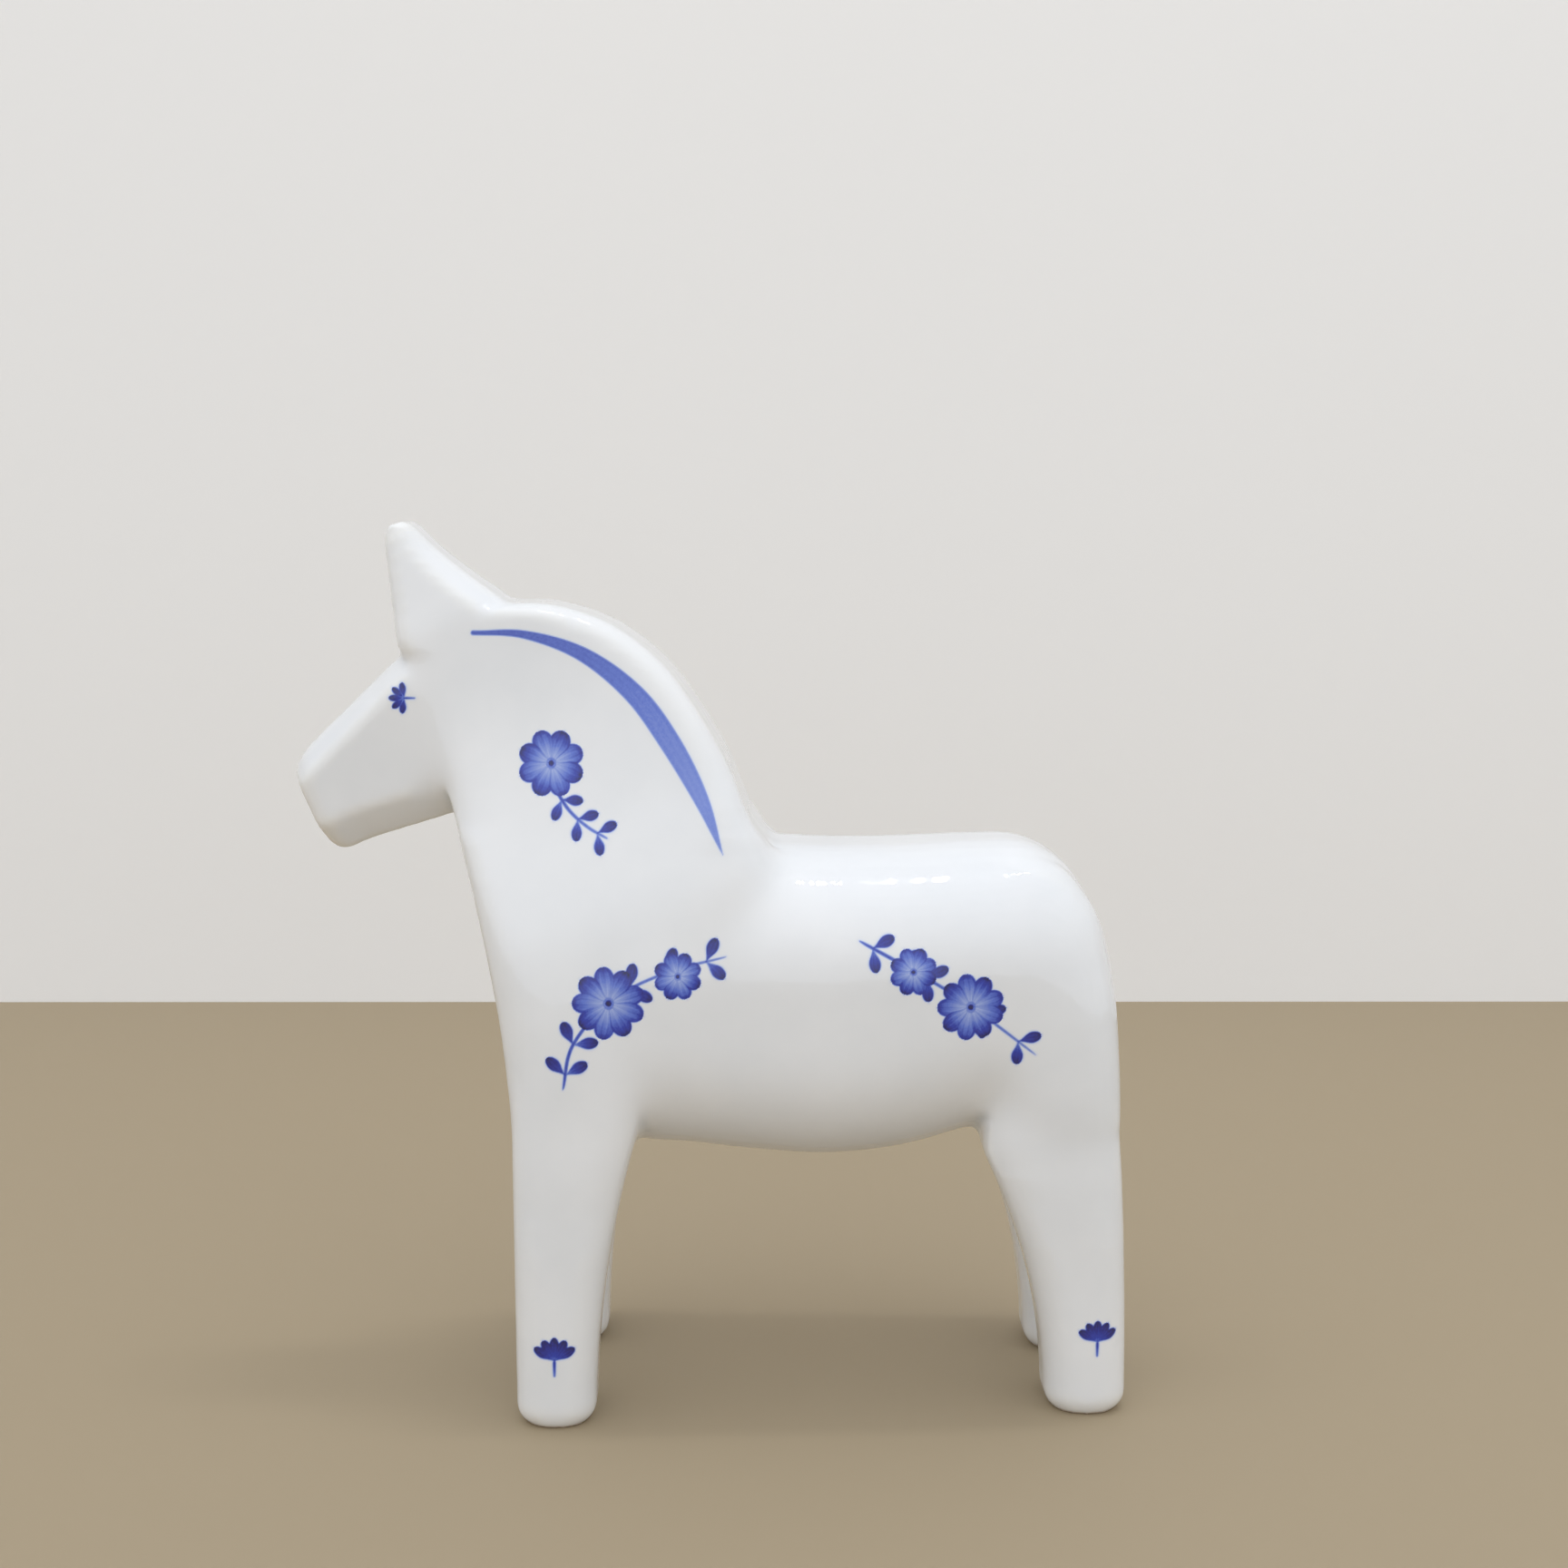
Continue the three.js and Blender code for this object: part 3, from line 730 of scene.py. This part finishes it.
# ---- The neck flower ----
# An open flower with even petals round a dark heart, over a curved stem with pairs of leaves. Each
# petal is a single loaded stroke, pale at its foot and dark at its tip.
def flower(x, z, reach, petals=8):
    """Strokes of an evenly petalled flower, every other petal a little darker."""
    strokes = []
    for number in range(petals):
        angle = 2 * math.pi * (number + 0.5) / petals
        foot = (x + 0.1 * reach * math.cos(angle), z + 0.1 * reach * math.sin(angle))
        tip = (x + reach * math.cos(angle), z + reach * math.sin(angle))
        strokes.append(("petal", 4.9 * reach / petals, 0.2, 0.6 + 0.14 * (number % 2), 0.22, foot, tip))
    strokes.append(("spot", 0.34 * reach, 0.4, 0.44, 0, (x - 0.15 * reach, z), (x + 0.15 * reach, z)))
    strokes.append(("spot", 0.16 * reach, 0.92, 0.94, 0, (x - 0.08 * reach, z), (x + 0.08 * reach, z)))
    return strokes


def stem(path, pairs, leaf):
    """Strokes of a thin stem along the path, with pairs of leaves evenly spaced along it."""
    strokes = [("line", 0.8, 0.62, 0.46, 0, *path)]
    xs, zs = zip(*path)
    for number in range(pairs):
        t = (number + 0.5) / pairs
        x, z = blended(xs, t), blended(zs, t)
        ahead = math.atan2(blended(zs, t + 0.02) - z, blended(xs, t + 0.02) - x)
        for side in (-1, 1):
            angle = ahead + side * 0.95
            tip = (x + leaf * math.cos(angle), z + leaf * math.sin(angle))
            strokes.append(("leaf", 0.46 * leaf, 0.58 + 0.08 * side, 0.86, 0.06, (x, z), tip))
    return strokes


painted("neck_flower", (breast + 9.6, poll - 38.2), [
    *stem([(1, -6), (4.5, -11), (9, -14.8), (14, -17.5)], 3, 5.2),
    *flower(0, 0, 8.2),
])


# ---- The shoulder garland ----
# A larger and a smaller flower on one arching stem with pairs of leaves, over the shoulder.
painted("shoulder_garland", (breast + 25.1, belly + 44.0), [
    *stem([(-12, -22), (-9.5, -11), (0, 0), (13, 6.5), (27, 10)], 6, 6.0),
    *flower(-1, -1, 8.8, 9),
    *flower(15.5, 5.5, 5.8),
])


# ---- The hip garland ----
# The same flowers on a stem that falls towards the thigh, over the haunch.
painted("hip_garland", (rear - 43.3, belly + 41.9), [
    *stem([(-25, 15.5), (-12, 8.5), (1, 0.5), (18, -12.5)], 6, 5.8),
    *flower(-12, 8.2, 5.8),
    *flower(2, -0.5, 8.2, 9),
])


# ---- The hoof sprigs ----
# A fan of five leaves above each hoof, painted with a heavily loaded brush.
painted("front_hoof_sprig", (breast + 10.5, 18.0), fan(0, 0, 5.8))
painted("hind_hoof_sprig", (rear - 8.3, 19.5), fan(0, 0, 5.4))


# ---- Floor and backdrop ----
# A plain pale floor and a plain pale wall behind, of matt board. They stand for the table and the
# room and aren't part of the horse.
def sheet(name, corners, colour):
    bm = bmesh.new()
    bmesh.ops.create_grid(bm, x_segments=1, y_segments=1, size=1)
    for vertex, corner in zip(bm.verts, corners):
        vertex.co = corner
    mesh = bpy.data.meshes.new(name)
    bm.to_mesh(mesh)
    bm.free()
    made = bpy.data.objects.new(name, mesh)
    bpy.context.scene.collection.objects.link(made)
    paint = bpy.data.materials.new(name)
    paint.use_nodes = True
    surface = paint.node_tree.nodes["Principled BSDF"]
    surface.inputs["Base Color"].default_value = (*colour, 1)
    surface.inputs["Roughness"].default_value = 0.7
    made.data.materials.append(paint)
    made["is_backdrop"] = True


WALL_AT = 0.42
WIDE = 2.5
sheet("floor", [(-WIDE, -WIDE, 0), (WIDE, -WIDE, 0), (-WIDE, WALL_AT, 0), (WIDE, WALL_AT, 0)],
      (0.38, 0.305, 0.2))
sheet("wall", [(-WIDE, WALL_AT, -1), (WIDE, WALL_AT, -1), (-WIDE, WALL_AT, WIDE), (WIDE, WALL_AT, WIDE)],
      (0.92, 0.92, 0.92))


# ---- Light ----
# Soft even room light, a little brighter overhead, and a row of small ceiling lamps. The lamps are
# what the glaze shows as the broken line of beads along the back.
def small_lamp(name, place, size, power):
    data = bpy.data.lights.new(name, "AREA")
    data.shape = "RECTANGLE"
    data.size, data.size_y = size
    data.energy = power
    lamp = bpy.data.objects.new(name, data)
    lamp.location = place
    bpy.context.scene.collection.objects.link(lamp)


for number in range(9):
    across = -0.03 + 0.04 * number + 0.009 * math.sin(number * 2.3)
    width = 0.01 + 0.004 * math.sin(number * 1.7)
    small_lamp(f"lamp_{number}", (across, 0.02, 1.3), (width, 0.07), 0.16)
world = bpy.data.worlds.new("room")
world.use_nodes = True
add, wire = network(world.node_tree)
sky = world.node_tree.nodes["Background"]
sky.inputs["Color"].default_value = (0.95, 0.97, 1, 1)
outlook = add("ShaderNodeTexCoord")
height = add("ShaderNodeSeparateXYZ")
glow = add("ShaderNodeMapRange", interpolation_type="SMOOTHSTEP")
glow.inputs["To Min"].default_value = 1.06
glow.inputs["To Max"].default_value = 1.16
wire(outlook.outputs["Generated"], height.inputs["Vector"])
wire(height.outputs["Z"], glow.inputs["Value"])
wire(glow.outputs["Result"], sky.inputs["Strength"])
bpy.context.scene.world = world
bpy.context.scene.view_settings.view_transform = "Standard"


# ---- Camera ----
# A normal lens at the height of the horse's ears, a little over half a metre to its left and
# looking slightly down, so the horse stands square to it.
camera_data = bpy.data.cameras.new("camera")
camera_data.sensor_width = 36
camera_data.lens = 51.04
camera = bpy.data.objects.new("camera", camera_data)
camera.location = (0.006, -0.5584, 0.2282)
camera.rotation_euler = (math.radians(90 - 7.53), math.radians(-0.26), math.radians(-1.2))
bpy.context.scene.collection.objects.link(camera)
bpy.context.scene.camera = camera

low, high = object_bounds()
